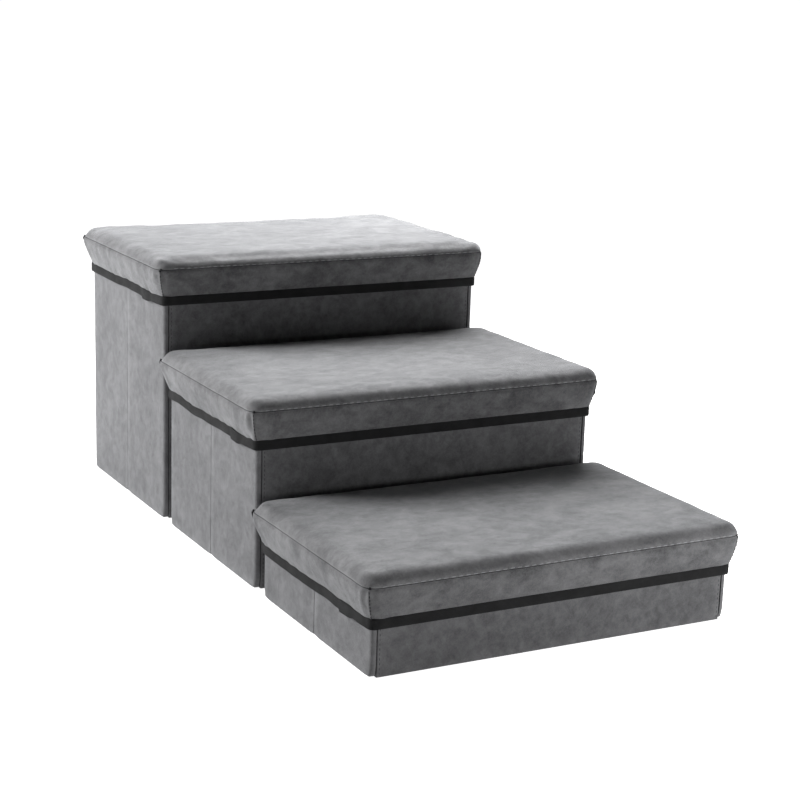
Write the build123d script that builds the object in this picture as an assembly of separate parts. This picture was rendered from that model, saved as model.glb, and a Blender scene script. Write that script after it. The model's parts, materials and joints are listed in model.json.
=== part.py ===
from build123d import *
import os
from math import radians, sin, tan

# Folding pet step: three fabric covered storage boxes in a row, each with a padded lift-off lid.
# Millimetres, +Z up. X runs across the step, +Y to the back, and the origin is the middle of the
# footprint at floor level. A box folds flat: each side wall breaks inward at a crease half way
# along it, the front wall comes straight back, and two base flaps rise with the fold.

# Overall sizes
box_width = 380.0  # across one box, outside its side walls
box_depth = 230.0  # front to back of one box, outside
box_gap = 20.0  # between two neighbouring boxes
low_wall_height = 65.0
step_rise = 96.0  # from one step to the next

# Walls: a stiff board in a sewn fabric sleeve
wall_thickness = 6.0
sleeve_skin = 1.0
sleeve_seam = 3.0  # sewn edge of the sleeve, beyond the board
corner_radius = 4.0  # upright outer corners of the side walls
foot_radius = 8.0  # bottom outer corners of the side walls
crease_foot_radius = 4.0  # bottom corners beside the crease
hinge_clearance = 0.3  # between pieces that fold against each other

# Base flaps and floor cloth
fold_limit = 85.0  # degrees that a side wall half turns when a box is flat
flap_thickness = 2.5
floor_cloth_thickness = 0.8
floor_cloth_lift = 1.0  # the cloth hangs this far off the floor
flap_reach_limit = 10.0  # a raised flap stays this far under the top of the walls

# Lids
lid_rest_clearance = 0.3  # under the lid board, over the walls
lid_board_thickness = 4.0
lid_board_clearance = 0.8  # lid board to skirt, and foam to cover
lid_height = 32.0  # top of the lid above the walls
lid_bulge_height = 17.0  # widest line of the lid above the walls
lid_side_overhang = 10.0
lid_pass_clearance = 2.0  # between two lids when one is lifted past the other
lid_edge_radius = 12.0
lid_corner_radius = 15.0
lid_cover_skin = 1.5
hem_drop = 19.0  # lowest edge of the lid below the top of the walls
hem_clearance = 1.2  # between the elastic band and the walls
band_height = 10.0
band_thickness = 1.9

# Webbing straps that tie one box to the next
strap_width = 40.0
strap_thickness = 1.5
strap_tab_height = 14.0
strap_spacing = 200.0
strap_drop = 6.0  # below the hem of the lower lid

lid_end_overhang = (box_gap - lid_pass_clearance) / 2
boxes = ("low", "middle", "top")


def block(x0, x1, y0, y1, z0, z1):
    """Box between two opposite corners."""
    return Pos(x0, y0, z0) * Box(x1 - x0, y1 - y0, z1 - z0, align=(Align.MIN, Align.MIN, Align.MIN))


def front_face(index):
    """Y of the outer front face of a box, counted from the lowest."""
    return (index - 1) * (box_depth + box_gap) - box_depth / 2


def wall_top(index):
    return low_wall_height + index * step_rise


def edge_at(solid, axis, point):
    """The edge of a solid that runs along an axis nearest to a point."""
    return solid.edges().filter_by(axis).sort_by_distance(point)[0]


def sleeved(outer, x0, x1, y0, y1, z0, z1):
    """A board with the given corners, and the closed sleeve around it cut from an outer solid."""
    board = block(x0, x1, y0, y1, z0, z1)
    return board, outer - board


def end_wall(index, at_rear):
    """Front or rear wall: it stands between the two side walls."""
    half_width = box_width / 2 - wall_thickness - hinge_clearance
    y0 = front_face(index) + (box_depth - wall_thickness if at_rear else 0)
    y1 = y0 + wall_thickness
    top = wall_top(index)
    outer = block(-half_width, half_width, y0, y1, 0, top)
    inset = half_width - sleeve_seam
    return sleeved(outer, -inset, inset, y0 + sleeve_skin, y1 - sleeve_skin, sleeve_seam, top - sleeve_seam)


def side_half(index, side, at_rear):
    """Half of a side wall, from the crease to the end of the box. side is -1 at the left."""
    middle = front_face(index) + box_depth / 2
    end_sign = 1 if at_rear else -1
    end = middle + end_sign * box_depth / 2
    crease = middle + end_sign * hinge_clearance / 2
    y0, y1 = sorted((end, crease))
    face = side * box_width / 2
    x0, x1 = sorted((face, face - side * wall_thickness))
    top = wall_top(index)
    upright = block(x0, x1, y0, y1, 0, top)
    upright = fillet(edge_at(upright, Axis.Z, (face, end, top / 2)), corner_radius)
    outline = block(x0, x1, y0, y1, 0, top)
    outline = fillet(edge_at(outline, Axis.X, (face, end, 0)), foot_radius)
    outline = fillet(edge_at(outline, Axis.X, (face, crease, 0)), crease_foot_radius)
    x0, x1 = x0 + sleeve_skin, x1 - sleeve_skin
    y0, y1 = y0 + sleeve_seam, y1 - sleeve_seam
    return sleeved(upright & outline, x0, x1, y0, y1, foot_radius, top - sleeve_seam)


def base_flap(index, at_rear):
    """Stiff flap hinged low on the front or rear wall, lying on the floor cloth.

    Beside the hinge it is cut back at 45 degrees, clear of the side walls as they fold in over it.
    Further out it keeps the width that is left between the two folded side walls.
    """
    sign = 1 if at_rear else -1
    middle = front_face(index) + box_depth / 2
    inside = box_width / 2 - wall_thickness
    half_depth = box_depth / 2 - wall_thickness
    reach = min(half_depth - 2 * hinge_clearance, wall_top(index) - flap_reach_limit)
    hinge = middle + sign * (half_depth - hinge_clearance)
    turn = radians(fold_limit)
    root = inside - (flap_thickness * sin(turn) + 3 * hinge_clearance) * tan(turn)
    narrowest = inside - half_depth - 2 * hinge_clearance
    slope = min(reach, root - narrowest)
    right = [(root, hinge), (root - slope, hinge - sign * slope)]
    if slope < reach:
        right.append((root - slope, hinge - sign * reach))
    left = [(-x, y) for x, y in reversed(right)]
    outline = make_face(Polyline(*right, *left, close=True))
    base = floor_cloth_lift + floor_cloth_thickness + hinge_clearance
    return Pos(0, 0, base) * extrude(outline, flap_thickness, dir=(0, 0, 1))


def floor_cloth(index):
    """Thin cloth sewn round the foot of a box."""
    half_width = box_width / 2 - wall_thickness - hinge_clearance
    y0 = front_face(index) + wall_thickness + hinge_clearance
    y1 = front_face(index) + box_depth - wall_thickness - hinge_clearance
    return block(-half_width, half_width, y0, y1, floor_cloth_lift, floor_cloth_lift + floor_cloth_thickness)


def rounded_slice(middle, height, side_margin, end_margin, radius):
    """Level rectangle with rounded corners, a margin larger than the box."""
    sketch = RectangleRounded(box_width + 2 * side_margin, box_depth + 2 * end_margin, radius)
    return Pos(0, middle, height) * sketch


def lid_form(index, inset):
    """Outer form of a lid, from the band up, shrunk by an inset all round."""
    middle = front_face(index) + box_depth / 2
    top = wall_top(index)
    foot = top - hem_drop + band_height
    bulge = top + lid_bulge_height
    foot_margin = hem_clearance + lid_cover_skin - inset
    foot_slice = rounded_slice(middle, foot, foot_margin, foot_margin, corner_radius + foot_margin)
    bulge_slice = rounded_slice(
        middle, bulge, lid_side_overhang - inset, lid_end_overhang - inset, lid_corner_radius - inset
    )
    skirt = loft([foot_slice, bulge_slice])
    crown_height = lid_height - lid_bulge_height - inset
    crown = extrude(bulge_slice, crown_height, dir=(0, 0, 1))
    edge_radius = min(lid_edge_radius - inset, crown_height - 1, lid_corner_radius - inset - 1)
    crown = fillet(crown.faces().sort_by(Axis.Z)[-1].edges(), edge_radius)
    return skirt + crown


def lid_cover(index):
    """Suede cover: closed on top, open underneath, its skirt drawn in to the band."""
    middle = front_face(index) + box_depth / 2
    foot = wall_top(index) - hem_drop + band_height
    mouth = rounded_slice(middle, foot, hem_clearance, hem_clearance, corner_radius + hem_clearance)
    return lid_form(index, 0) - lid_form(index, lid_cover_skin) - extrude(mouth, 1.0, dir=(0, 0, 1))


def lid_board(index):
    """Stiff board that rests over the tops of the walls, inside the skirt."""
    middle = front_face(index) + box_depth / 2
    foot_height = band_height - hem_drop
    share = (lid_rest_clearance - foot_height) / (lid_bulge_height - foot_height)
    side, end, corner = (
        low + share * (high - lid_cover_skin - low)
        for low, high in (
            (hem_clearance, lid_side_overhang),
            (hem_clearance, lid_end_overhang),
            (corner_radius + hem_clearance, lid_corner_radius),
        )
    )
    under = wall_top(index) + lid_rest_clearance
    outline = rounded_slice(middle, under, side - lid_board_clearance, end - lid_board_clearance, corner)
    return extrude(outline, lid_board_thickness, dir=(0, 0, 1))


def lid_foam(index):
    """Pad between the board and the cover."""
    form = lid_form(index, lid_cover_skin + lid_board_clearance)
    under = wall_top(index) + lid_rest_clearance + lid_board_thickness
    reach = box_width + box_depth
    y = front_face(index)
    return form & block(-reach, reach, y - reach, y + reach, under, under + lid_height)


def lid_band(index):
    """Elastic band sewn round the lower edge of the skirt."""
    middle = front_face(index) + box_depth / 2
    low_edge = wall_top(index) - hem_drop
    outer_margin = hem_clearance + band_thickness
    outer = rounded_slice(middle, low_edge, outer_margin, outer_margin, corner_radius + outer_margin)
    inner = rounded_slice(middle, low_edge, hem_clearance, hem_clearance, corner_radius + hem_clearance)
    return extrude(outer - inner, band_height, dir=(0, 0, 1))


def link_straps(index):
    """Two webbing straps that join the rear wall of a box to the front wall of the next one."""
    y0 = front_face(index) + box_depth
    y1 = y0 + box_gap
    top = wall_top(index) - hem_drop - strap_drop
    straps = []
    for x in (-strap_spacing / 2, strap_spacing / 2):
        x0 = x - strap_width / 2
        x1 = x + strap_width / 2
        bridge = block(x0, x1, y0, y1, top - strap_thickness, top)
        near_tab = block(x0, x1, y0, y0 + strap_thickness, top - strap_tab_height, top)
        far_tab = block(x0, x1, y1 - strap_thickness, y1, top - strap_tab_height, top)
        straps.append(bridge + near_tab + far_tab)
    return Compound(children=straps)


def build():
    """Every piece, by name."""
    pieces = {}
    for index, box in enumerate(boxes):
        for end, at_rear in (("rear", True), ("front", False)):
            walls = {f"{box}_{end}": end_wall(index, at_rear)}
            walls[f"{box}_left_{end}"] = side_half(index, -1, at_rear)
            walls[f"{box}_right_{end}"] = side_half(index, 1, at_rear)
            for name, (board, cover) in walls.items():
                pieces[f"{name}_board"] = board
                pieces[f"{name}_cover"] = cover
            pieces[f"{box}_base_{end}_flap"] = base_flap(index, at_rear)
        pieces[f"{box}_floor_cloth"] = floor_cloth(index)
        pieces[f"{box}_lid_board"] = lid_board(index)
        pieces[f"{box}_lid_foam"] = lid_foam(index)
        pieces[f"{box}_lid_cover"] = lid_cover(index)
        pieces[f"{box}_lid_band"] = lid_band(index)
    for index in range(len(boxes) - 1):
        pieces[f"link_straps_{boxes[index]}_{boxes[index + 1]}"] = link_straps(index)
    return pieces


os.makedirs("parts", exist_ok=True)
for name, solid in build().items():
    export_step(solid, f"parts/{name}.step")
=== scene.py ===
import bpy
import json
from math import ceil, cos, exp, pi, radians, sin, sqrt
from mathutils import Matrix, Vector, noise
from mathutils.bvhtree import BVHTree

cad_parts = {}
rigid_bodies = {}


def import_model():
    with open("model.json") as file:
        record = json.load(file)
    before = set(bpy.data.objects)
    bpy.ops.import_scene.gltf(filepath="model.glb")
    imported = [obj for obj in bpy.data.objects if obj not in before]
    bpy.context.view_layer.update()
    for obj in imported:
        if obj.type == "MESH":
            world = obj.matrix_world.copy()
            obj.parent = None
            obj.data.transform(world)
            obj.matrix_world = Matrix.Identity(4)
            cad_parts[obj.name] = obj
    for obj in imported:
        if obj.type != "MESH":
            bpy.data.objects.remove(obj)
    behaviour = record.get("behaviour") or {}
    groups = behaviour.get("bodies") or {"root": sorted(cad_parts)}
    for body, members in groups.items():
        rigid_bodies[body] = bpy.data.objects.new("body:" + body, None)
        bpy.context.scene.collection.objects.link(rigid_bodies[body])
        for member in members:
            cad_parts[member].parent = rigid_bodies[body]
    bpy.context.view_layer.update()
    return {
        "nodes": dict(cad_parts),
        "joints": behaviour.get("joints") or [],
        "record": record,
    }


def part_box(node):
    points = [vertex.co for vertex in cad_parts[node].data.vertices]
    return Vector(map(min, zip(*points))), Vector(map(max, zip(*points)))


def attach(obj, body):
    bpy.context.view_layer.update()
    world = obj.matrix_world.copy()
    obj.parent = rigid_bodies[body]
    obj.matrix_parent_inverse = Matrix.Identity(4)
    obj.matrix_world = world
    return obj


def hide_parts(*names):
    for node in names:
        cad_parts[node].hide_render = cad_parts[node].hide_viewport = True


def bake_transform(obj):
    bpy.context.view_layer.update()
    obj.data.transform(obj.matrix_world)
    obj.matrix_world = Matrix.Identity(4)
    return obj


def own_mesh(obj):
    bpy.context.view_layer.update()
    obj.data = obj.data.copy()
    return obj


# Folding pet step: three suede storage boxes in a row, each under a padded lift-off lid.
# Metres, +Z up. X runs across the step and +Y to the back.
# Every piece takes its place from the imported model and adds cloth, seams, stitches and finishes.

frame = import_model()

MM = 0.001
UP = Vector((0, 0, 1))
BOXES = ("low", "middle", "top")
BODY_OF_NODE = {n: body for body, nodes in frame["record"]["behaviour"]["bodies"].items() for n in nodes}

# Lids, in mm
ROLL_RADIUS = 12.0  # top edge of the pad
CUSHION_CORNER = 15.0  # plan radius at the widest line
HEM_CORNER = 6.7  # plan radius at the band
CLOTH_PITCH = 6.5  # between points of the cloth
SEAM_ABOVE_BULGE = 3.5
HEM_TUCK = 1.6  # the skirt ends this far down behind the band
CLOTH_THICKNESS = 1.1
CLOTH_STEPS = 20  # of the simulation
PAD_EASE = 2.6  # between the foam and the cover, where the cover can wrinkle
PAD_PITCH = 14.0  # between points of the foam
STITCH_PITCH = 7.5
STITCH_LENGTH = 4.6
STITCH_WIDTH = 0.75
CORNER_STITCH_PITCH = 3.6
CORNER_STITCH_LENGTH = 2.8
CORNER_STITCH_WIDTH = 0.9

# Walls, in mm
PANEL_PITCH = 9.0
SLEEVE_UNDULATION = 0.28
SLEEVE_ROUND = 2.0  # top and bottom edges of a sleeve
LINING_ROUND = 0.8  # edges of its inner face
WALL_STITCH_PITCH = 4.5
WALL_STITCH_LENGTH = 2.6
WALL_STITCH_WIDTH = 0.5
WALL_SEAM_INSET = 2.3  # from the edge of an end wall
WALL_SEAM_ENDS = 4.0  # left without stitches at the top and bottom
FLAP_TAPE_REACH = 170.0  # half the length of the tape along a base flap, at most


# ---------------------------------------------------------------- meshes


def new_piece(name, points, faces, materials, finish=None):
    """Mesh object from points in metres. finish gives the material number of each face."""
    mesh = bpy.data.meshes.new(name)
    mesh.from_pydata([tuple(p) for p in points], [], faces)
    for material in materials:
        mesh.materials.append(material)
    if finish is not None:
        mesh.polygons.foreach_set("material_index", finish)
    mesh.shade_smooth()
    mesh.update()
    piece = bpy.data.objects.new(name, mesh)
    bpy.context.scene.collection.objects.link(piece)
    return piece


def mark_rub(piece, values):
    """How much each point has been rubbed, 0 to 1, for the finish to read."""
    attribute = piece.data.attributes.new("rub", "FLOAT", "POINT")
    attribute.data.foreach_set("value", [float(v) for v in values])


def apply_modifier(piece, kind, **settings):
    modifier = piece.modifiers.new(kind.lower(), kind)
    for key, value in settings.items():
        setattr(modifier, key, value)
    bpy.context.view_layer.update()
    made = bpy.data.meshes.new_from_object(piece.evaluated_get(bpy.context.evaluated_depsgraph_get()))
    piece.modifiers.clear()
    old = piece.data
    made.name = old.name
    piece.data = made
    bpy.data.meshes.remove(old)
    made.shade_smooth()


def rounding(radius, steps=4):
    """Distances in from an edge that follow a round of that radius."""
    return [radius * (1 - cos(pi / 2 * k / steps)) for k in range(steps + 1)]


def stations(length, start, end, pitch):
    """Places along a side: the two lists of distances at its ends, and about a pitch apart between."""
    inner = length - start[-1] - end[-1]
    count = max(1, ceil(inner / pitch))
    middle = [start[-1] + inner * k / count for k in range(1, count)]
    return start + middle + [length - d for d in reversed(end)]


def round_corner(u, v, width, height, radii):
    """Moves a point of a rectangle so that the rectangle gets round corners, one radius for each."""
    for (far, high), radius in radii.items():
        a = u - width + radius if far else radius - u
        b = v - height + radius if high else radius - v
        if a > 0 and b > 0:
            reach = max(a, b)
            angle = pi / 4 * b / a if a >= b else pi / 2 - pi / 4 * a / b
            a = reach * cos(angle)
            b = reach * sin(angle)
            return (width - radius + a if far else radius - a), (height - radius + b if high else radius - b)
    return u, v


def grid_faces(columns, rows, first=0, turned=False):
    """Faces between the points of a grid that are listed row by row. turned makes them face the other way."""
    faces = []
    for j in range(rows - 1):
        for i in range(columns - 1):
            a = first + j * columns + i
            quad = (a, a + 1, a + 1 + columns, a + columns)
            faces.append(quad[::-1] if turned else quad)
    return faces


def grid_rim(columns, rows):
    """Points round the edge of a grid, in order."""
    rim = list(range(columns))
    rim += [j * columns + columns - 1 for j in range(1, rows)]
    rim += [(rows - 1) * columns + i for i in reversed(range(columns - 1))]
    rim += [j * columns for j in reversed(range(1, rows - 1))]
    return rim


def round_drop(distance, radius):
    """How far a surface has dropped at a distance in from an edge with a round."""
    return radius - sqrt(max(0.0, radius**2 - (radius - distance) ** 2)) if distance < radius else 0.0


def ease(x):
    x = min(1.0, max(0.0, x))
    return x * x * (3 - 2 * x)


def bell(x, width):
    """1 at zero, falling smoothly to nothing about twice the width away."""
    return exp(-((x / width) ** 2))


def ripple(point, size, seed=0.0):
    """Smooth irregular value between about -1 and 1 that changes over a size in metres."""
    return noise.noise(Vector(point) / size + Vector((seed, 1.7 * seed, -seed)))


def stitch_rows(centres, directions, normals, length, width):
    """Sewn stitches as short rounded threads. Sizes in mm, centres in metres."""
    around = 6
    sections = ((-0.5, 0.25), (-0.36, 0.8), (0.0, 1.0), (0.36, 0.8), (0.5, 0.25))
    points, faces = [], []
    for centre, direction, normal in zip(centres, directions, normals):
        first = len(points)
        side = direction.cross(normal).normalized()
        for along, fat in sections:
            for k in range(around):
                turn = 2 * pi * k / around
                across = side * cos(turn) + normal * sin(turn) * 0.7
                points.append(centre + (direction * along * length + across * fat * width / 2) * MM)
        for s in range(len(sections) - 1):
            for k in range(around):
                a = first + s * around + k
                b = first + s * around + (k + 1) % around
                faces.append((a, b, b + around, a + around))
        faces.append(tuple(first + k for k in reversed(range(around))))
        faces.append(tuple(first + (len(sections) - 1) * around + k for k in range(around)))
    return points, faces


# ---------------------------------------------------------------- finishes


def shader_nodes(material):
    material.use_nodes = True
    tree = material.node_tree
    return tree.nodes, tree.links, tree.nodes["Principled BSDF"]


def new_group(name, inputs, outputs):
    group = bpy.data.node_groups.new(name, "ShaderNodeTree")
    for label, kind, value in inputs:
        socket = group.interface.new_socket(name=label, in_out="INPUT", socket_type=kind)
        socket.default_value = value
    for label, kind in outputs:
        group.interface.new_socket(name=label, in_out="OUTPUT", socket_type=kind)
    start = group.nodes.new("NodeGroupInput")
    end = group.nodes.new("NodeGroupOutput")
    return group, start, end


def noise_node(nodes, links, vector, scale, detail, distortion=0.0, roughness=0.5):
    node = nodes.new("ShaderNodeTexNoise")
    node.inputs["Scale"].default_value = scale
    node.inputs["Detail"].default_value = detail
    node.inputs["Distortion"].default_value = distortion
    node.inputs["Roughness"].default_value = roughness
    links.new(vector, node.inputs["Vector"])
    return node.outputs["Fac"]


def maths(nodes, links, operation, a, b):
    node = nodes.new("ShaderNodeMath")
    node.operation = operation
    for socket, value in zip(node.inputs, (a, b)):
        if isinstance(value, (int, float)):
            socket.default_value = value
        else:
            links.new(value, socket)
    return node.outputs[0]


def spread(nodes, links, value, low, high, to_low=0.0, to_high=1.0):
    node = nodes.new("ShaderNodeMapRange")
    node.interpolation_type = "SMOOTHSTEP"
    node.inputs["From Min"].default_value = low
    node.inputs["From Max"].default_value = high
    node.inputs["To Min"].default_value = to_low
    node.inputs["To Max"].default_value = to_high
    links.new(value, node.inputs["Value"])
    return node.outputs["Result"]


def tint(nodes, links, shader, tone, dark, light, rough, smooth):
    """Base colour from dark to light, and roughness from rough to smooth, as the tone rises."""
    colour = nodes.new("ShaderNodeMix")
    colour.data_type = "RGBA"
    colour.inputs["A"].default_value = (*dark, 1)
    colour.inputs["B"].default_value = (*light, 1)
    links.new(tone, colour.inputs["Factor"])
    links.new(colour.outputs["Result"], shader.inputs["Base Color"])
    links.new(spread(nodes, links, tone, 0, 1, rough, smooth), shader.inputs["Roughness"])


def raise_surface(nodes, links, shader, height, strength, distance):
    bump = nodes.new("ShaderNodeBump")
    bump.inputs["Strength"].default_value = strength
    bump.inputs["Distance"].default_value = distance
    links.new(height, bump.inputs["Height"])
    links.new(bump.outputs["Normal"], shader.inputs["Normal"])


def nap_group():
    """Brushed nap: broad patches, streaks along the brushing, and single fibres."""
    group, start, end = new_group(
        "brushed_nap",
        [
            ("Streak Direction", "NodeSocketVector", (1.0, 1.0, 1.0)),
            ("Patch Size", "NodeSocketFloat", 1.0),
            ("Rub", "NodeSocketFloat", 0.0),
        ],
        [("Tone", "NodeSocketFloat"), ("Height", "NodeSocketFloat")],
    )
    nodes, links = group.nodes, group.links
    place = nodes.new("ShaderNodeTexCoord").outputs["Object"]
    stretch = nodes.new("ShaderNodeVectorMath")
    stretch.operation = "MULTIPLY"
    links.new(place, stretch.inputs[0])
    links.new(start.outputs["Streak Direction"], stretch.inputs[1])
    along = stretch.outputs[0]
    resize = nodes.new("ShaderNodeVectorMath")
    resize.operation = "SCALE"
    links.new(along, resize.inputs[0])
    links.new(start.outputs["Patch Size"], resize.inputs["Scale"])
    patches = spread(nodes, links, noise_node(nodes, links, resize.outputs[0], 15, 2, 1.2), 0.32, 0.68)
    clouds = spread(nodes, links, noise_node(nodes, links, resize.outputs[0], 46, 3, 0.8, 0.6), 0.3, 0.7)
    streaks = spread(nodes, links, noise_node(nodes, links, along, 120, 2, 0.3), 0.25, 0.75)
    fibres = noise_node(nodes, links, place, 900, 2)
    grain = noise_node(nodes, links, place, 2600, 1)
    flecks = spread(nodes, links, noise_node(nodes, links, place, 330, 2, 0.4), 0.3, 0.7)
    bristle = spread(nodes, links, fibres, 0.3, 0.7)
    layers = ((patches, 0.2), (clouds, 0.28), (streaks, 0.22), (flecks, 0.14), (bristle, 0.16))
    tone = maths(nodes, links, "MULTIPLY", start.outputs["Rub"], 0.35)
    for layer, weight in layers:
        tone = maths(nodes, links, "ADD", tone, maths(nodes, links, "MULTIPLY", layer, weight))
    links.new(tone, end.inputs["Tone"])
    links.new(maths(nodes, links, "ADD", fibres, grain), end.inputs["Height"])
    return group


def suede(name, dark, light, streak_direction, patch_size):
    """Microfibre suede. Its tone follows the nap, and rubbed edges are paler."""
    material = bpy.data.materials.new(name)
    nodes, links, shader = shader_nodes(material)
    nap = nodes.new("ShaderNodeGroup")
    nap.node_tree = BRUSHED_NAP
    nap.inputs["Streak Direction"].default_value = streak_direction
    nap.inputs["Patch Size"].default_value = patch_size
    rub = nodes.new("ShaderNodeAttribute")
    rub.attribute_name = "rub"
    links.new(rub.outputs["Fac"], nap.inputs["Rub"])
    tint(nodes, links, shader, nap.outputs["Tone"], dark, light, 0.97, 0.82)
    shader.inputs["Specular IOR Level"].default_value = 0.15
    shader.inputs["Sheen Weight"].default_value = 0.36
    shader.inputs["Sheen Roughness"].default_value = 0.45
    shader.inputs["Sheen Tint"].default_value = (0.95, 0.97, 1.0, 1)
    raise_surface(nodes, links, shader, nap.outputs["Height"], 0.35, 0.0006)
    return material


def ribbed_group():
    """Woven ribs along a band or strap, with a fine cross thread."""
    group, start, end = new_group(
        "woven_ribs",
        [
            ("Rib Vector", "NodeSocketVector", (0.0, 0.0, 1.0)),
            ("Cross Vector", "NodeSocketVector", (1.0, 1.0, 0.0)),
            ("Ribs Per Metre", "NodeSocketFloat", 800.0),
        ],
        [("Tone", "NodeSocketFloat"), ("Height", "NodeSocketFloat")],
    )
    nodes, links = group.nodes, group.links
    place = nodes.new("ShaderNodeTexCoord").outputs["Object"]
    heights = []
    for label, finer in (("Rib Vector", 1.0), ("Cross Vector", 1.4)):
        measure = nodes.new("ShaderNodeVectorMath")
        measure.operation = "DOT_PRODUCT"
        links.new(place, measure.inputs[0])
        links.new(start.outputs[label], measure.inputs[1])
        turns = maths(nodes, links, "MULTIPLY", measure.outputs["Value"], start.outputs["Ribs Per Metre"])
        angle = maths(nodes, links, "MULTIPLY", turns, 2 * pi * finer)
        heights.append(maths(nodes, links, "SINE", angle, 0.0))
    dust = noise_node(nodes, links, place, 60, 4, 0.4)
    woven = maths(nodes, links, "MULTIPLY_ADD", heights[1], 0.35)
    links.new(heights[0], woven.node.inputs[2])
    tone = maths(nodes, links, "MULTIPLY_ADD", woven, 0.12)
    links.new(dust, tone.node.inputs[2])
    links.new(tone, end.inputs["Tone"])
    links.new(woven, end.inputs["Height"])
    return group


def woven(name, dark, light, rib, cross, ribs_per_metre, depth):
    """Black elastic or webbing, from the rib group."""
    material = bpy.data.materials.new(name)
    nodes, links, shader = shader_nodes(material)
    weave = nodes.new("ShaderNodeGroup")
    weave.node_tree = WOVEN_RIBS
    weave.inputs["Rib Vector"].default_value = rib
    weave.inputs["Cross Vector"].default_value = cross
    weave.inputs["Ribs Per Metre"].default_value = ribs_per_metre
    tint(nodes, links, shader, weave.outputs["Tone"], dark, light, 0.9, 0.7)
    shader.inputs["Specular IOR Level"].default_value = 0.2
    raise_surface(nodes, links, shader, weave.outputs["Height"], 0.6, depth)
    return material


def fibre_group():
    """Pressed fibres: long random flecks over a cloudy ground."""
    group, start, end = new_group(
        "pressed_fibres",
        [("Fleck Size", "NodeSocketFloat", 1.0)],
        [("Tone", "NodeSocketFloat"), ("Height", "NodeSocketFloat")],
    )
    nodes, links = group.nodes, group.links
    place = nodes.new("ShaderNodeTexCoord").outputs["Object"]
    resize = nodes.new("ShaderNodeVectorMath")
    resize.operation = "SCALE"
    links.new(place, resize.inputs[0])
    links.new(start.outputs["Fleck Size"], resize.inputs["Scale"])
    flecks = spread(nodes, links, noise_node(nodes, links, resize.outputs[0], 420, 4, 2.5, 0.7), 0.35, 0.65)
    clouds = noise_node(nodes, links, resize.outputs[0], 26, 3)
    tone = maths(nodes, links, "MULTIPLY_ADD", flecks, 0.5)
    links.new(maths(nodes, links, "MULTIPLY", clouds, 0.5), tone.node.inputs[2])
    links.new(tone, end.inputs["Tone"])
    links.new(flecks, end.inputs["Height"])
    return group


def pressed(name, dark, light, fleck_size, depth, roughness=0.9):
    """Nonwoven lining, fibreboard, foam, thread or the painted shade of a seam, from the fibre group."""
    material = bpy.data.materials.new(name)
    nodes, links, shader = shader_nodes(material)
    fibres = nodes.new("ShaderNodeGroup")
    fibres.node_tree = PRESSED_FIBRES
    fibres.inputs["Fleck Size"].default_value = fleck_size
    tint(nodes, links, shader, fibres.outputs["Tone"], dark, light, roughness, roughness - 0.08)
    shader.inputs["Specular IOR Level"].default_value = 0.25
    raise_surface(nodes, links, shader, fibres.outputs["Height"], 0.5, depth)
    return material


BRUSHED_NAP = nap_group()
WOVEN_RIBS = ribbed_group()
PRESSED_FIBRES = fibre_group()

WALL_SUEDE = suede("wall_suede", (0.075, 0.075, 0.078), (0.2, 0.2, 0.206), (1.0, 1.0, 0.95), 1.5)
LID_SUEDE = suede("lid_suede", (0.06, 0.06, 0.063), (0.225, 0.225, 0.23), (0.7, 1.0, 1.0), 1.2)
ELASTIC = woven(
    "black_elastic", (0.01, 0.01, 0.0105), (0.026, 0.026, 0.027), (0, 0, 1), (1, 1, 0), 900, 0.0003
)
WEBBING = woven(
    "black_webbing", (0.008, 0.008, 0.009), (0.02, 0.02, 0.022), (1, 0, 0), (0, 1, 1), 450, 0.0004
)
LINING = pressed("black_nonwoven", (0.012, 0.012, 0.013), (0.035, 0.035, 0.038), 1.0, 0.0003)
FIBREBOARD = pressed("fibreboard", (0.24, 0.16, 0.09), (0.45, 0.33, 0.2), 1.0, 0.0002)
FOAM = pressed("cut_foam", (0.55, 0.5, 0.36), (0.82, 0.78, 0.6), 1.6, 0.0008, 0.95)
# Dark thread for the stitches. The same dark finish is on the cord round each lid's seam, where it is painted
# shade for the seam's groove.
DARK_THREAD_AND_SEAM_SHADE = pressed("dark_thread", (0.012, 0.012, 0.013), (0.03, 0.03, 0.032), 2.0, 0.0001)
TOP_THREAD = pressed("grey_thread", (0.26, 0.26, 0.27), (0.42, 0.42, 0.44), 2.0, 0.0001)


# ---------------------------------------------------------------- walls


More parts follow.
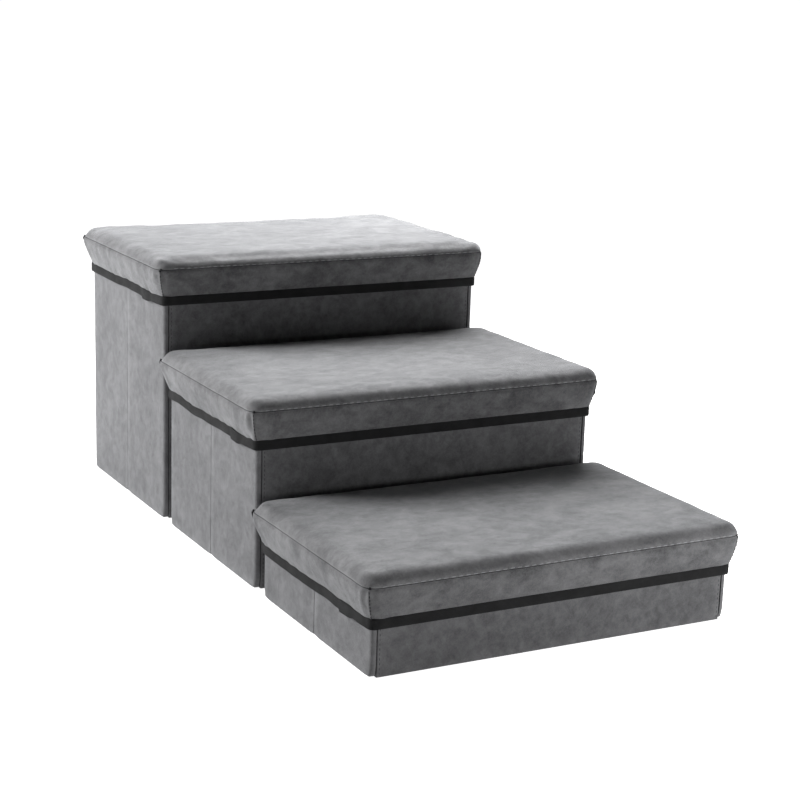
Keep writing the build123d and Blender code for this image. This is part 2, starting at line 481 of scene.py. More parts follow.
def wall_cover(node, along, outward, start_round, end_round, feet):
    """Suede sleeve of one wall panel: lined inside, rounded at its edges, uneven like cloth on a board.

    along runs from the start edge to the end edge. feet are the radii of its two bottom corners, seen
    from the front of the panel.
    """
    low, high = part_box(node)
    corner = Vector([high[k] if along[k] + outward[k] < 0 else low[k] for k in range(3)])
    corner.z = low.z
    size = high - low
    length = abs(size.dot(along)) / MM
    thickness = abs(size.dot(outward)) / MM
    height = size.z / MM
    radii = {(0, 0): feet[0], (1, 0): feet[1], (0, 1): SLEEVE_ROUND, (1, 1): SLEEVE_ROUND}
    us = stations(length, rounding(start_round), rounding(end_round), PANEL_PITCH)
    vs = stations(height, rounding(SLEEVE_ROUND), rounding(SLEEVE_ROUND), PANEL_PITCH)
    points, rub = [], []

    def place(u, v, w):
        u, v = round_corner(u, v, length, height, radii)
        return corner + (along * u + UP * v + outward * w) * MM

    for outside in (True, False):
        for v in vs:
            for u in us:
                rounds = (
                    (u, start_round),
                    (length - u, end_round),
                    (v, SLEEVE_ROUND),
                    (height - v, SLEEVE_ROUND),
                )
                inset = min(d for d, _ in rounds)
                if outside:
                    drop = max(round_drop(d, r) for d, r in rounds)
                    loose = ease((inset - 2) / 16)
                    at = corner + (along * u + UP * v) * MM
                    wave = ripple(at, 0.07, 3.1) + 0.5 * ripple(at, 0.025, 5.3)
                    w = thickness - drop + SLEEVE_UNDULATION * loose * wave
                else:
                    w = max(round_drop(d, LINING_ROUND) for d, _ in rounds)
                points.append(place(u, v, w))
                rub.append(exp(-inset / 2.5))
    columns, rows = len(us), len(vs)
    sheet_size = columns * rows
    flip = along.cross(UP).dot(outward) < 0
    faces = grid_faces(columns, rows, turned=flip)
    faces += grid_faces(columns, rows, first=sheet_size, turned=not flip)
    finish = [0] * (len(faces) // 2) + [1] * (len(faces) // 2)
    rim = grid_rim(columns, rows)
    for k, a in enumerate(rim):
        b = rim[(k + 1) % len(rim)]
        quad = (a, b, b + sheet_size, a + sheet_size)
        faces.append(quad if flip else quad[::-1])
        finish.append(0)
    piece = new_piece(node.replace("_cover", "_sleeve"), points, faces, [WALL_SUEDE, LINING], finish)
    mark_rub(piece, rub)
    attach(piece, BODY_OF_NODE[node])
    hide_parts(node)
    return piece


def wall_covers():
    for box in BOXES:
        for end, sign in (("rear", 1), ("front", -1)):
            wall_cover(f"{box}_{end}_cover", Vector((1, 0, 0)), Vector((0, sign, 0)), 0.9, 0.9, (0.9, 0.9))
            for side, across in (("left", -1), ("right", 1)):
                node = f"{box}_{side}_{end}_cover"
                wall_cover(node, Vector((0, -sign, 0)), Vector((across, 0, 0)), 4.0, 0.9, (8.0, 4.0))


def wall_stitches():
    """Dark stitches down both sides of each end wall, where its sleeve is sewn to the side walls."""
    for box in BOXES:
        for end, sign in (("rear", 1), ("front", -1)):
            node = f"{box}_{end}_cover"
            low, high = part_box(node)
            face = high.y if sign > 0 else low.y
            centres, directions, normals = [], [], []
            for x in (low.x + WALL_SEAM_INSET * MM, high.x - WALL_SEAM_INSET * MM):
                z = low.z + WALL_SEAM_ENDS * MM
                while z < high.z - WALL_SEAM_ENDS * MM:
                    sway = 0.15 * ripple((x, face, z), 0.004) * MM
                    centres.append(Vector((x + sway, face + sign * 0.02 * MM, z)))
                    directions.append(UP)
                    normals.append(Vector((0, sign, 0)))
                    z += WALL_STITCH_PITCH * MM
            points, faces = stitch_rows(centres, directions, normals, WALL_STITCH_LENGTH, WALL_STITCH_WIDTH)
            piece = new_piece(f"{box}_{end}_stitches", points, faces, [DARK_THREAD_AND_SEAM_SHADE])
            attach(piece, BODY_OF_NODE[node])


def tape(name, section, run, thickness, material):
    """Strip of cloth. section is a row of points across it, run the vector along it, both in metres."""
    steps = max(2, ceil(run.length / (12 * MM)))
    points, faces = [], []
    for k in range(steps + 1):
        points.extend(p + run * k / steps for p in section)
    across = len(section)
    for k in range(steps):
        for n in range(across - 1):
            a = k * across + n
            faces.append((a, a + 1, a + 1 + across, a + across))
    piece = new_piece(name, points, faces, [material])
    apply_modifier(piece, "SOLIDIFY", thickness=thickness * MM, offset=0)
    return piece


def hinge_cloths():
    """Cloth that carries each fold: inside the crease of a side wall, in the corners, along the flaps."""
    for joint in frame["joints"]:
        if joint["type"] != "hinge":
            continue
        box = joint["name"].split("_")[0]
        pivot = Vector(joint["pos_m"])
        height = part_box(f"{box}_front_cover")[1].z
        bodies = (joint["parent"], joint["child"])
        if "crease" in joint["name"]:
            inward = -1 if pivot.x > 0 else 1
            away = 1 if "rear" in bodies[0] else -1
            base = Vector((pivot.x + inward * 0.75 * MM, pivot.y, 5 * MM))
            section = [base + Vector((0, away * y * MM, 0)) for y in (4, 2, 0.9, 0.4, 0, -0.4, -0.9, -2, -4)]
            strip = tape(f"{joint['name']}_cloth", section, UP * (height - 9 * MM), 0.3, WALL_SUEDE)
            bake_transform(strip)
        elif "base" in joint["name"]:
            flap_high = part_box(joint["child"])[1]
            inward = -1 if "rear" in joint["name"] else 1
            wall_face = pivot.y - inward * 0.3 * MM
            left = -min(flap_high.x, FLAP_TAPE_REACH * MM)
            corner = Vector((left, wall_face + inward * 0.2 * MM, flap_high.z + 0.2 * MM))
            legs = [corner + UP * z * MM for z in (9, 5, 2, 0.6)]
            legs += [corner + Vector((0, inward * y * MM, 0)) for y in (0.1, 0.6, 2, 5, 9)]
            strip = tape(f"{joint['name']}_tape", legs, Vector((-2 * left, 0, 0)), 0.25, LINING)
            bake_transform(strip)
        else:
            corner_tape(joint["name"], pivot, height, bodies)
        if "crease" in joint["name"] and pivot.x > 0:
            open_corner(box, joint, height)


def corner_tape(name, pivot, height, bodies):
    """Lining tape up an inner corner: one leg on the side wall and one on the end wall."""
    box = name.split("_")[0]
    inward_x = -1 if pivot.x > 0 else 1
    middle_y = sum(corner.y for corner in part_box(f"{box}_floor_cloth")) / 2
    inward_y = -1 if pivot.y > middle_y else 1
    corner = Vector((pivot.x + inward_x * 0.2 * MM, pivot.y + inward_y * 0.2 * MM, 7 * MM))
    side_leg = [corner + Vector((0, inward_y * d * MM, 0)) for d in (8, 5, 2, 0.8)]
    end_leg = [corner + Vector((inward_x * d * MM, 0, 0)) for d in (0.8, 2, 5, 8)]
    rise = UP * (height - 10 * MM)
    if len(bodies) == 1:
        strip = tape(f"{name}_tape", side_leg, rise, 0.2, LINING)
        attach(strip, bodies[0])
        return
    strip = tape(f"{name}_tape", side_leg + [corner] + end_leg, rise, 0.25, LINING)
    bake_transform(strip)


def open_corner(box, crease, height):
    """The corner where the chain of hinges is left open: its tape stays on the side wall."""
    side_low, side_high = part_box(crease["child"].replace("_panel", "_cover"))
    at_rear = "rear" in crease["child"]
    thickness = side_high.x - side_low.x
    y = side_high.y - thickness if at_rear else side_low.y + thickness
    pivot = Vector((side_low.x, y, 0))
    corner_tape(f"{box}_open_corner", pivot, height, (crease["child"],))


def floor_cloths():
    """Thin cloth under each box, a little slack between its sewn edges."""
    for joint in frame["joints"]:
        if not joint["name"].endswith("_fold"):
            continue
        box = joint["name"].split("_")[0]
        node = f"{box}_floor_cloth"
        low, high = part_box(node)
        thickness = high.z - low.z
        width, depth = high.x - low.x, high.y - low.y
        columns, rows = 40, 24
        points = []
        for j in range(rows + 1):
            for i in range(columns + 1):
                x = low.x + width * i / columns
                y = low.y + depth * j / rows
                edge = min(i, columns - i, j, rows - j)
                slack = 0.35 * MM * ripple((x, y, 0), 0.05, 2.0) * ease(edge / 3)
                points.append(Vector((x, y, high.z - thickness * 0.35 + slack)))
        faces = grid_faces(columns + 1, rows + 1)
        piece = new_piece(f"{box}_base_cloth", points, faces, [LINING])
        apply_modifier(piece, "SOLIDIFY", thickness=0.4 * MM, offset=-1)
        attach(piece, BODY_OF_NODE[node])
        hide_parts(node)
        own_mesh(piece)


def link_straps():
    """Webbing between one box and the next: a tab sewn down each wall, and a slack run across the gap."""
    for lower, upper in zip(BOXES, BOXES[1:]):
        node = f"link_straps_{lower}_{upper}"
        low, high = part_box(node)
        gap = high.y - low.y
        drop = high.z - low.z
        body = BODY_OF_NODE[node]
        thickness = 1.1 * MM
        half = 20 * MM
        spacing = high.x - half
        bend = 2.2 * MM
        profile = [Vector((0, low.y + thickness * 0.6, low.z + drop * k / 4)) for k in range(4)]
        for k in range(5):
            turn = pi / 2 * k / 4
            y = low.y + thickness * 0.6 + bend * (1 - cos(turn))
            profile.append(Vector((0, y, high.z - thickness * 0.6 - bend * (1 - sin(turn)))))
        run = gap - 2 * (thickness * 0.6 + bend)
        for k in range(1, 8):
            share = k / 8
            sag = 1.6 * MM * sin(pi * share) ** 2
            start_y = low.y + thickness * 0.6 + bend
            profile.append(Vector((0, start_y + run * share, high.z - thickness * 0.6 - sag)))
        middle_y = (low.y + high.y) / 2
        first_half = [p for p in profile if p.y < middle_y - 0.1 * MM]
        profile = first_half + [p for p in profile if abs(p.y - middle_y) <= 0.1 * MM]
        profile += [Vector((0, 2 * middle_y - p.y, p.z)) for p in reversed(first_half)]
        for side, centre in (("left", -spacing), ("right", spacing)):
            section = [p + Vector((centre - half, 0, 0)) for p in profile]
            strap = tape(f"{node}_{side}", section, Vector((2 * half, 0, 0)), 1.1, WEBBING)
            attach(strap, body)
            if side == "left":
                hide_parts(node)
            centres, directions, normals = [], [], []
            for y, out in ((low.y + thickness * 1.25, 1), (high.y - thickness * 1.25, -1)):
                for z in (low.z + 2.5 * MM, low.z + 8.5 * MM):
                    for n in range(10):
                        centres.append(Vector((centre - half + (2.2 + 4 * n) * MM, y, z)))
                        directions.append(Vector((1, 0, 0)))
                        normals.append(Vector((0, out, 0)))
            points, faces = stitch_rows(centres, directions, normals, 2.8, 0.6)
            sewn = new_piece(f"{node}_{side}_stitches", points, faces, [TOP_THREAD])
            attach(sewn, body)


# ---------------------------------------------------------------- lids


class LidForm:
    """Plan, heights and sewn lines of one lid, in mm from its middle at the top of the walls."""

    def __init__(self, box):
        cover_low, cover_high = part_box(f"{box}_lid_cover")
        band_low, band_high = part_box(f"{box}_lid_band")
        wall_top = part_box(f"{box}_front_cover")[1].z
        middle = (cover_low + cover_high) / 2
        self.box = box
        self.origin = Vector((middle.x, middle.y, wall_top))
        self.half_width = (cover_high.x - cover_low.x) / 2 / MM
        self.half_depth = (cover_high.y - cover_low.y) / 2 / MM
        self.top = (cover_high.z - wall_top) / MM
        self.foot = (cover_low.z - wall_top) / MM
        self.hem = (band_low.z - wall_top) / MM
        self.seam = self.top - ROLL_RADIUS
        self.bulge = self.seam - SEAM_ABOVE_BULGE
        self.band_outer_x = (band_high.x - band_low.x) / 2 / MM
        self.band_outer_y = (band_high.y - band_low.y) / 2 / MM
        self.seed = BOXES.index(box) * 7.0 + 1.0

    def world(self, x, y, z):
        return self.origin + Vector((x, y, z)) * MM

    def insets(self, z):
        """How far the border has come in at a height, at the sides and at the ends, and its corner radius."""
        share = min(1.0, max(0.0, (self.bulge - z) / (self.bulge - self.foot))) ** 1.7
        side = share * (self.half_width - self.band_outer_x + 0.4)
        end = share * (self.half_depth - self.band_outer_y + 0.4)
        return side, end, CUSHION_CORNER + share * (HEM_CORNER - CUSHION_CORNER)

    def on_ring(self, x, y, side, end, radius):
        """Moves a point of the widest outline to one further in with another corner radius."""
        straight_x = self.half_width - CUSHION_CORNER
        straight_y = self.half_depth - CUSHION_CORNER
        new_x = self.half_width - side - radius
        new_y = self.half_depth - end - radius
        over_x = (abs(x) - straight_x) / CUSHION_CORNER
        over_y = (abs(y) - straight_y) / CUSHION_CORNER
        px = new_x + over_x * radius if over_x > 0 else abs(x) * new_x / straight_x
        py = new_y + over_y * radius if over_y > 0 else abs(y) * new_y / straight_y
        return px * (1 if x > 0 else -1), py * (1 if y > 0 else -1)


MOST_SWELL = 2.6  # how far a point of a cover may move, in mm
MOST_SWELL_ON_TOP = 1.6
SWELL_AT_ENDS = 0.45  # share of the movement left at the front and rear
LID_SLACK = {"low": 0.28, "middle": 0.36, "top": 0.75}  # how loose each cover is
FRONT_WEAR = {"low": 0.0, "middle": 1.0, "top": 2.4}  # how far the front edge has sunk, in mm
# How far each corner of a lid is pulled out at its seam, in mm, and how strongly it is gathered:
# rear left, rear right, front left, front right.
CORNER_PULL = {(-1, 1): 5.6, (1, 1): 2.2, (-1, -1): 0.8, (1, -1): 1.3}
CORNER_GATHER = {(-1, 1): 1.9, (1, 1): 1.0, (-1, -1): 2.0, (1, -1): 1.2}


def lid_cloth(form):
    """The cover as a flat-topped box of cloth, before it swells.

    The points of the top lie on a grid. The border hangs in rows from the edge of that grid, the seam.
    Returns the points, the faces, the rows of the border and how many points are in the top.
    """
    width = 2 * form.half_width
    depth = 2 * form.half_depth
    edge = [0.0, 0.35, 1.6, 4.0, 7.5, 11.0, CUSHION_CORNER, 20.0, 25.0]
    us = stations(width, edge, edge, CLOTH_PITCH)
    vs = stations(depth, edge, edge, CLOTH_PITCH)
    radii = {(i, j): CUSHION_CORNER for i in (0, 1) for j in (0, 1)}
    points = []
    for v in vs:
        for u in us:
            inset = min(u, width - u, v, depth - v)
            x, y = round_corner(u, v, width, depth, radii)
            z = form.top - round_drop(inset, ROLL_RADIUS)
            points.append(Vector((x - form.half_width, y - form.half_depth, z)))
    columns, rows = len(us), len(vs)
    faces = grid_faces(columns, rows)
    ring = grid_rim(columns, rows)
    first_row = form.seam - 1.2
    skirt_drop = first_row - form.foot
    count = round(skirt_drop / (0.7 * CLOTH_PITCH))
    heights = [first_row - skirt_drop * k / count for k in range(count + 1)]
    heights.append(form.foot - HEM_TUCK)
    border = [ring]
    for height in heights:
        side, end, radius = form.insets(height)
        if height < form.foot:
            side, end = side + 0.6, end + 0.6
        row = []
        for k in ring:
            x, y = form.on_ring(points[k].x, points[k].y, side, end, radius)
            row.append(len(points))
            points.append(Vector((x, y, height)))
        previous = border[-1]
        for k in range(len(ring)):
            n = (k + 1) % len(ring)
            faces.append((previous[k], row[k], row[n], previous[n]))
        border.append(row)
    return points, faces, border, columns * rows


def swell(piece, border):
    """Cloth simulation: the cover fills out between its sewn lines. Returns its points in metres."""
    held = piece.vertex_groups.new(name="held")
    tight = piece.vertex_groups.new(name="tight")
    held.add([k for row in border[-3:] for k in row], 1.0, "REPLACE")
    held.add(border[-4], 0.5, "REPLACE")
    held.add(border[0], 0.55, "REPLACE")
    tight.add([k for row in (border[0], border[-2], border[-1]) for k in row], 1.0, "REPLACE")
    modifier = piece.modifiers.new("cloth", "CLOTH")
    cloth = modifier.settings
    cloth.quality = 6
    cloth.mass = 0.25
    cloth.tension_stiffness = 12
    cloth.compression_stiffness = 6
    cloth.shear_stiffness = 4
    cloth.bending_stiffness = 3.0
    cloth.vertex_group_mass = "held"
    cloth.pin_stiffness = 1.0
    cloth.vertex_group_shrink = "tight"
    cloth.shrink_min = -0.03
    cloth.shrink_max = 0.02
    cloth.use_pressure = True
    cloth.uniform_pressure_force = 2.5
    cloth.effector_weights.gravity = 0
    modifier.collision_settings.use_collision = False
    modifier.point_cache.frame_start = 1
    modifier.point_cache.frame_end = CLOTH_STEPS
    scene = bpy.context.scene
    for step in range(1, CLOTH_STEPS + 1):
        scene.frame_set(step)
    swollen = piece.evaluated_get(bpy.context.evaluated_depsgraph_get()).data
    ends = [v.co.copy() for v in swollen.vertices]
    piece.modifiers.clear()
    piece.vertex_groups.clear()
    scene.frame_set(1)
    return ends


def hem_wave(form, x, y):
    """Rise and swing outward of the hem, in mm. Its sides waver, and its ends are pulled straight."""
    on_side = ease((form.half_depth - 12 - abs(y)) / 25) * ease((abs(x) - 150) / 30)
    at = Vector((x, y, 0)) * MM
    rise = 1.1 * ripple(at, 0.03, form.seed) + 1.2 * ripple(at, 0.075, form.seed + 3)
    swing = 0.7 + 0.8 * ripple(at, 0.02, form.seed + 5)
    return rise * on_side + 0.15 * ripple(at, 0.06, form.seed), swing * on_side


def pulled_corner(pull, near, below, face, diagonal):
    """A corner is pulled out at the seam, with a nick below it, and is tucked in above it."""
    offset = Vector((0, 0, 0))
    reach = bell(near, 14.0)
    if below > -1:
        offset += diagonal * pull * reach * bell(below, 14.0)
        offset.z += 0.25 * pull * reach * bell(below - 2, 5.0)
        offset -= face * 0.3 * pull * bell(near - 7, 2.2) * bell(below - 8, 9.0)
    else:
        offset -= diagonal * 0.45 * pull * bell(near, 9.0) * bell(below + 5.5, 4.5)
        offset += diagonal * 0.6 * pull * reach * bell(below, 5.0)
    return offset


def corner_gathers(gather, at, seed, near, below, face, diagonal):
    """Folds that fan out below a corner."""
    fan = near / (6 + 0.25 * below)
    fold = sin(fan * 4.6 + 2 * ripple(at, 0.02, seed))
    offset = face * gather * 0.6 * fold * exp(-near / 15.0) * ease(below / 6)
    return offset - diagonal * 0.9 * bell(near, 2.5) * ease(below / 6)


def hem_gathers(form, at, start, below, from_x, from_y, face):
    """Small gathers over the band on the sides, which follow its waves."""
    low = ease((below - 12) / 16)
    rise, swing = hem_wave(form, start.x, start.y)
    small = sin(start.y / 3.1 + 3 * ripple(at, 0.03, form.seed + 21))
    on_side = ease((from_y - 4) / 12) * (1 if from_x < from_y else 0)
    patchy = ease(0.5 + 1.3 * ripple(at, 0.05, form.seed + 25))
    return face * low * (swing + 0.45 * small * on_side * patchy) + UP * rise * low


def sculpt(form, start, moved):
    """Sewn lines, gathers and pulled corners, added to one point of the cover. Points in mm."""
    p = Vector(moved)
    at = start * MM
    below = form.seam - start.z
    corner_x = 1 if start.x > 0 else -1
    corner_y = 1 if start.y > 0 else -1
    diagonal = Vector((corner_x, corner_y, 0)).normalized()
    from_x = form.half_width - abs(start.x)
    from_y = form.half_depth - abs(start.y)
    near = max(from_x, from_y)
    face = UP
    if below > -ROLL_RADIUS * 0.6:
        face = Vector((0, corner_y, 0)) if from_y < from_x else Vector((corner_x, 0, 0))
    # seam round the pad
    pucker = 0.35 * ripple(at, 0.009, form.seed + 11)
    p -= face * (1.5 + pucker) * bell(below, 1.4)
    # a soft roll over the seam, uneven on the sides
    if below < 3:
        roll = bell(below + 5, 4.5)
        softness = ripple(at, 0.045, form.seed + 13)
        p += face * 0.5 * roll * (1 + softness)
        p.z += 0.7 * roll * softness
    # the front edge of the pad is worn to a longer slope on the upper lids
    if start.y < 0 and from_y < 30:
        worn = FRONT_WEAR[form.box] * ease(from_x / 25)
        p.z -= worn * bell(from_y - 9, 8.0) * ease(-(below + 2) / 4)
    corner = (corner_x, corner_y)
    p += pulled_corner(CORNER_PULL[corner], near, below, face, diagonal)
    if below > 1 and near < 60:
        seed = form.seed + corner_x + 3 * corner_y
        p += corner_gathers(CORNER_GATHER[corner], at, seed, near, below, face, diagonal)
    if below > 5:
        p += hem_gathers(form, at, start, below, from_x, from_y, face)
    # broad softness of the top
    if below < -9:
        p.z += 0.55 * ripple(at, 0.085, form.seed + 31) * ease(min(from_x, from_y) / 30)
    return p


def limited(offset, most):
    """A soft limit: a long offset comes near to a distance and never passes it."""
    size = offset.length
    return offset * (most / (most + size)) if size > 0 else offset


def sewn_lines(form, piece, points, border):
    """The seam round the pad, and the line down each corner of the skirt, as they lie on the cover."""
    seam = [piece.data.vertices[k].co.copy() for k in border[0]]
    corners = {}
    for k, index in enumerate(border[0]):
        p = points[index]
        key = (1 if p.x > 0 else -1, 1 if p.y > 0 else -1)
        reach = (form.half_width - abs(p.x)) + (form.half_depth - abs(p.y))
        if key not in corners or reach < corners[key][0]:
            corners[key] = (reach, k)
    uprights = {
        key: [piece.data.vertices[row[k]].co.copy() for row in border[1:-1]]
        for key, (_, k) in corners.items()
    }
    return seam, uprights


def mark_rolled_edge(form, piece):
    """The roll round the top of the pad is rubbed."""
    rub = []
    for vertex in piece.data.vertices:
        p = (vertex.co - form.origin) / MM
        inset = min(form.half_width - abs(p.x), form.half_depth - abs(p.y))
        rub.append(0.5 * bell(inset - 3, 5) if p.z > form.seam else 0.0)
    mark_rub(piece, rub)


def lid_cover(form):
    """Suede cover of a lid: swollen, sculpted, then given its thickness and its lining."""
    points, faces, border, top_count = lid_cloth(form)
    start = [form.world(*p) for p in points]
    unworn = new_piece("unworn_cover", start, faces, [])
    piece = new_piece(f"{form.box}_lid_suede_cover", start, faces, [LID_SUEDE, LINING])
    ends = swell(piece, border)
    for k, p in enumerate(points):
        offset = (ends[k] - start[k]) / MM
        inset = min(form.half_width - abs(p.x), form.half_depth - abs(p.y))
        on_top = k < top_count and inset > 14
        offset = limited(offset, MOST_SWELL_ON_TOP if on_top else MOST_SWELL)
        if abs(p.y) > form.half_depth - 10:
            offset.y *= SWELL_AT_ENDS
        piece.data.vertices[k].co = start[k] + offset * LID_SLACK[form.box] * MM
    apply_modifier(piece, "SUBSURF", levels=1, render_levels=1)
    apply_modifier(unworn, "SUBSURF", levels=1, render_levels=1)
    for vertex, before in zip(piece.data.vertices, unworn.data.vertices):
        p = sculpt(form, (before.co - form.origin) / MM, (vertex.co - form.origin) / MM)
        vertex.co = form.world(*p)
    bpy.data.objects.remove(unworn)
    seam, uprights = sewn_lines(form, piece, points, border)
    apply_modifier(piece, "SOLIDIFY", thickness=CLOTH_THICKNESS * MM, offset=-1, material_offset=1)
    mark_rolled_edge(form, piece)
    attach(piece, f"{form.box}_lid")
    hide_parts(f"{form.box}_lid_cover")
    return piece, seam, uprights


def tube(name, path, radius, material, closed=False, around=6):
    """Round cord along a path, here the dark cord that paints the shade in a lid's seam. Radius in mm, path
    in metres.
    """
    points, faces = [], []
    count = len(path)
    for k, p in enumerate(path):
        before = path[k - 1] if closed or k else path[k]
        after = path[(k + 1) % count] if closed or k < count - 1 else path[k]
        forward = (after - before).normalized()
        side = forward.cross(UP)
        side = side.normalized() if side.length > 0.1 else forward.cross(Vector((1, 0, 0))).normalized()
        rise = side.cross(forward)
        for n in range(around):
            turn = 2 * pi * n / around
            points.append(p + (side * cos(turn) + rise * sin(turn)) * radius * MM)
    for k in range(count if closed else count - 1):
        for n in range(around):
            a = k * around + n
            b = k * around + (n + 1) % around
            c = ((k + 1) % count) * around
            faces.append((a, b, c + (n + 1) % around, c + n))
    if not closed:
        faces.append(tuple(reversed(range(around))))
        faces.append(tuple((count - 1) * around + n for n in range(around)))
    return new_piece(name, points, faces, [material])


def spaced(path, pitch):
    """Middles and directions of stitches at a pitch along a path. Sizes in mm."""
    places, travelled, due = [], 0.0, pitch / 2
    for a, b in zip(path, path[1:]):
        run = (b - a).length / MM
        while due <= travelled + run and run > 0:
            share = (due - travelled) / run
            places.append((a.lerp(b, share), (b - a).normalized()))
            due += pitch
        travelled += run
    return places


def lid_seams(form, cover, seam, uprights):
    """Dark cord round the pad, painted shade for the groove of the seam; dark stitches down its corners, and
    pale running stitches along its front and rear.
    """
    body = f"{form.box}_lid"
    middle = form.origin.copy()
    line = []
    for p in seam:
        out = Vector((p.x - middle.x, p.y - middle.y, 0)).normalized()
        line.append(p + out * 0.15 * MM)
    # painted shade: a dark cord just outside the seam stands in for the shadow in its groove
    cord = tube(f"{form.box}_lid_seam", line, 0.35, DARK_THREAD_AND_SEAM_SHADE, closed=True)
    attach(cord, body)
    surface = BVHTree.FromObject(cover, bpy.context.evaluated_depsgraph_get())
    centres, directions, normals = [], [], []
    for sign in (-1, 1):
        edge = [p for p in seam if (p.y - middle.y) * sign > (form.half_depth - 9) * MM]
        edge.sort(key=lambda p: p.x)
        for place, direction in spaced(edge, STITCH_PITCH):
            if abs(place.x) > (form.half_width - 14) * MM:
                continue
            sway = 0.25 * ripple(place, 0.006, form.seed)
            outside = place + Vector((0, sign * 0.02, (1.5 + sway) * MM))
            hit, normal, _, _ = surface.ray_cast(outside, Vector((0, -sign, 0)))
            centres.append(hit + normal * 0.12 * MM)
            directions.append(direction)
            normals.append(normal)
    points, faces = stitch_rows(centres, directions, normals, STITCH_LENGTH, STITCH_WIDTH)
    stitches = new_piece(f"{form.box}_lid_stitches", points, faces, [TOP_THREAD])
    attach(stitches, body)
    centres, directions, normals = [], [], []
    for (sx, sy), upright in uprights.items():
        normal = Vector((sx, sy, 0)).normalized()
        for place, direction in spaced(upright, CORNER_STITCH_PITCH):
            centres.append(place + normal * 0.2 * MM)
            directions.append(direction)
            normals.append(normal)
    points, faces = stitch_rows(
        centres, directions, normals, CORNER_STITCH_LENGTH, CORNER_STITCH_WIDTH
    )
    corner_stitches = new_piece(f"{form.box}_lid_corner_stitches", points, faces, [DARK_THREAD_AND_SEAM_SHADE])
    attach(corner_stitches, body)


# Section of the band, across and up in mm
BAND_SECTION = (
    (0.0, 0.35), (0.0, 5.0), (0.0, 9.65), (0.35, 10.0), (1.45, 10.0), (1.85, 9.5),
    (2.0, 7.4), (1.88, 5.0), (2.0, 2.6), (1.85, 0.5), (1.45, 0.0), (0.35, 0.0),
)
BAND_THICKNESS = 1.9
BAND_JOIN = 0.80  # where its ends overlap on the left side, from rear to front


def lid_band(form):
    """Elastic sewn round the hem. It wavers on the sides, and its ends overlap on the left side."""
    outer_x, outer_y = form.band_outer_x, form.band_outer_y
    straight_x, straight_y = outer_x - HEM_CORNER, outer_y - HEM_CORNER
    ring = []
    sides = (
        ((-straight_x, -outer_y), (straight_x, -outer_y), (1, -1)),
        ((outer_x, -straight_y), (outer_x, straight_y), (1, 1)),
        ((straight_x, outer_y), (-straight_x, outer_y), (-1, 1)),
        ((-outer_x, straight_y), (-outer_x, -straight_y), (-1, -1)),
    )
    for k, (a, b, corner) in enumerate(sides):
        run = Vector((b[0] - a[0], b[1] - a[1]))
        facing = Vector((run.y, -run.x)).normalized()
        count = ceil(run.length / 4.5)
        for n in range(count + 1):
            ring.append((Vector(a) + run * n / count, facing))
        centre = Vector((corner[0] * straight_x, corner[1] * straight_y))
        first = -pi / 2 + k * pi / 2
        for n in range(1, 5):
            turn = first + pi / 2 * n / 5
            facing = Vector((cos(turn), sin(turn)))
            ring.append((centre + facing * HEM_CORNER, facing))
    points, faces = [], []
    join_y = outer_y * (1 - 2 * BAND_JOIN)
    for place, facing in ring:
        rise, swing = hem_wave(form, place.x, place.y)
        overlap = 0.0
        if place.x < 0 and abs(facing.x) > 0.9:
            overlap = ease((11 - abs(place.y - join_y)) / 2.5)
        for across, up in BAND_SECTION:
            out = across - BAND_THICKNESS + swing + overlap * (1.5 if across > 1 else 0.0)
            squeeze = 1 - 0.05 * swing
            z = form.hem + up * squeeze + rise + overlap * (0.5 if up > 5 else -1.3)
            points.append(form.world(place.x + facing.x * out, place.y + facing.y * out, z))
    size = len(BAND_SECTION)
    for k in range(len(ring)):
        n = (k + 1) % len(ring)
        for s in range(size):
            t = (s + 1) % size
            faces.append((k * size + s, k * size + t, n * size + t, n * size + s))
    piece = new_piece(f"{form.box}_lid_elastic_band", points, faces, [ELASTIC])
    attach(piece, f"{form.box}_lid")
    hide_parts(f"{form.box}_lid_band")


def lid_pad(form):
    """Foam pad inside the lid: cut square below, rounded over its top edge."""
    low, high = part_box(f"{form.box}_lid_foam")
    width, depth, height = ((high - low) / MM)[:]
    radius = min(10.0, height - 2)
    us = stations(width, rounding(radius), rounding(radius), PAD_PITCH)
    vs = stations(depth, rounding(radius), rounding(radius), PAD_PITCH)
    radii = {(i, j): radius + 1 for i in (0, 1) for j in (0, 1)}
    points = []
    for level in (1, 0):
        for v in vs:
            for u in us:
                inset = min(u, width - u, v, depth - v)
                x, y = round_corner(u, v, width, depth, radii)
                z = (height - round_drop(inset, radius) - PAD_EASE) * level
                side, end, _ = form.insets((low.z - form.origin.z) / MM + z)
                narrow_x = 1 - 2 * (side + PAD_EASE) / width
                narrow_y = 1 - 2 * (end + PAD_EASE) / depth
                x = width / 2 + (x - width / 2) * narrow_x
                y = depth / 2 + (y - depth / 2) * narrow_y
                points.append(low + Vector((x, y, z)) * MM)
    columns, rows = len(us), len(vs)
    sheet_size = columns * rows
    faces = grid_faces(columns, rows)
    faces += grid_faces(columns, rows, first=sheet_size, turned=True)
    rim = grid_rim(columns, rows)
    for k, a in enumerate(rim):
        b = rim[(k + 1) % len(rim)]
        faces.append((a, a + sheet_size, b + sheet_size, b))
    piece = new_piece(f"{form.box}_lid_foam_pad", points, faces, [FOAM])
    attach(piece, f"{form.box}_lid")
    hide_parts(f"{form.box}_lid_foam")


def lids():
    for box in BOXES:
        form = LidForm(box)
        cover, seam, uprights = lid_cover(form)
        lid_seams(form, cover, seam, uprights)
        lid_band(form)
        lid_pad(form)


# ---------------------------------------------------------------- studio


def softbox(name, place, target, size, power):
    data = bpy.data.lights.new(name, "AREA")
    data.size = size
    data.energy = power
    light = bpy.data.objects.new(name, data)
    bpy.context.scene.collection.objects.link(light)
    light.location = place
    light.rotation_euler = (Vector(target) - Vector(place)).to_track_quat("-Z", "Y").to_euler()


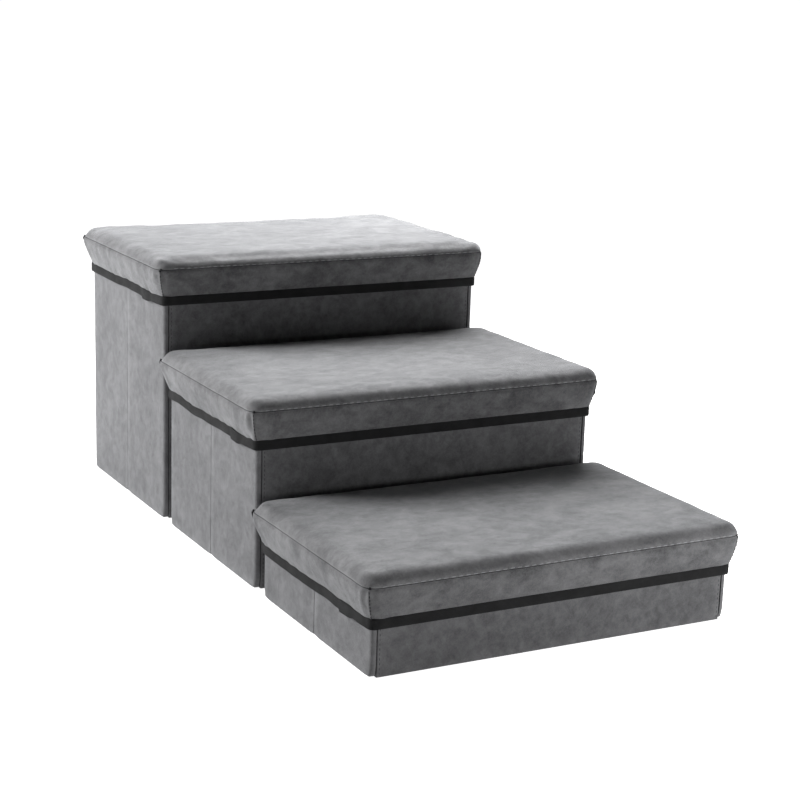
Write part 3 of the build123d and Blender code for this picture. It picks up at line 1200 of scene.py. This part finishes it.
def camera_ray_value(nodes, links, others, camera):
    """One value for what the camera sees directly, and another for the light the surface gives."""
    path = nodes.new("ShaderNodeLightPath")
    choice = nodes.new("ShaderNodeMapRange")
    choice.inputs["To Min"].default_value = others
    choice.inputs["To Max"].default_value = camera
    links.new(path.outputs["Is Camera Ray"], choice.inputs["Value"])
    return choice.outputs["Result"]


def studio():
    scene = bpy.context.scene
    scene.view_settings.view_transform = "Standard"
    world = bpy.data.worlds.new("studio")
    scene.world = world
    world.use_nodes = True
    nodes, links = world.node_tree.nodes, world.node_tree.links
    background = nodes["Background"]
    background.inputs["Color"].default_value = (1, 1, 1, 1)
    links.new(camera_ray_value(nodes, links, 0.03, 1.0), background.inputs["Strength"])
    segments = 64
    radius = 40.0
    turns = [2 * pi * k / segments for k in range(segments)]
    rim = [(radius * cos(turn), radius * sin(turn), 0) for turn in turns]
    material = bpy.data.materials.new("pale_floor")
    nodes, links, shader = shader_nodes(material)
    shader.inputs["Base Color"].default_value = (0.8, 0.8, 0.8, 1)
    shader.inputs["Roughness"].default_value = 0.9
    shader.inputs["Emission Color"].default_value = (1, 1, 1, 1)
    links.new(camera_ray_value(nodes, links, 0.13, 1.0), shader.inputs["Emission Strength"])
    ground = new_piece("floor", rim, [tuple(range(segments))], [material])
    ground.location.z = -0.3 * MM
    softbox("key", (-1.7, 0.95, 0.95), (0, 0.05, 0.12), 0.9, 60)
    softbox("overhead", (0.45, 0.55, 0.8), (0.02, 0.05, 0.18), 0.6, 19)
    softbox("low_fill", (0.25, -0.8, 0.12), (0, -0.3, 0.07), 0.25, 1.7)


def camera():
    """Stands to the front left, a little above the lids, with a long lens."""
    azimuth = radians(-28.21)
    elevation = radians(13.74)
    roll = radians(1.77)
    distance = 1.931
    shift_right, shift_up = -0.0059, 0.0426
    target = Vector((0, -0.065, 0.120))
    back = Vector((sin(azimuth) * cos(elevation), -cos(azimuth) * cos(elevation), sin(elevation)))
    level = UP.cross(back).normalized()
    upright = back.cross(level)
    right = level * cos(roll) + upright * sin(roll)
    up = upright * cos(roll) - level * sin(roll)
    data = bpy.data.cameras.new("camera")
    data.lens = 83.9
    eye = bpy.data.objects.new("camera", data)
    bpy.context.scene.collection.objects.link(eye)
    pose = Matrix((right, up, back)).transposed().to_4x4()
    pose.translation = target + back * distance + right * shift_right + up * shift_up
    eye.matrix_world = pose
    bpy.context.scene.camera = eye


# ---------------------------------------------------------------- assembly


def finish_boards():
    """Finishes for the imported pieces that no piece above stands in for: the boards and the base flaps."""
    finishes = {"lid_board": LINING, "board": FIBREBOARD, "flap": LINING}
    for name, node in frame["nodes"].items():
        if node.hide_render:
            continue
        node.data.materials.clear()
        node.data.materials.append(next(m for word, m in finishes.items() if word in name))


wall_covers()
wall_stitches()
hinge_cloths()
floor_cloths()
link_straps()
lids()
studio()
camera()
finish_boards()
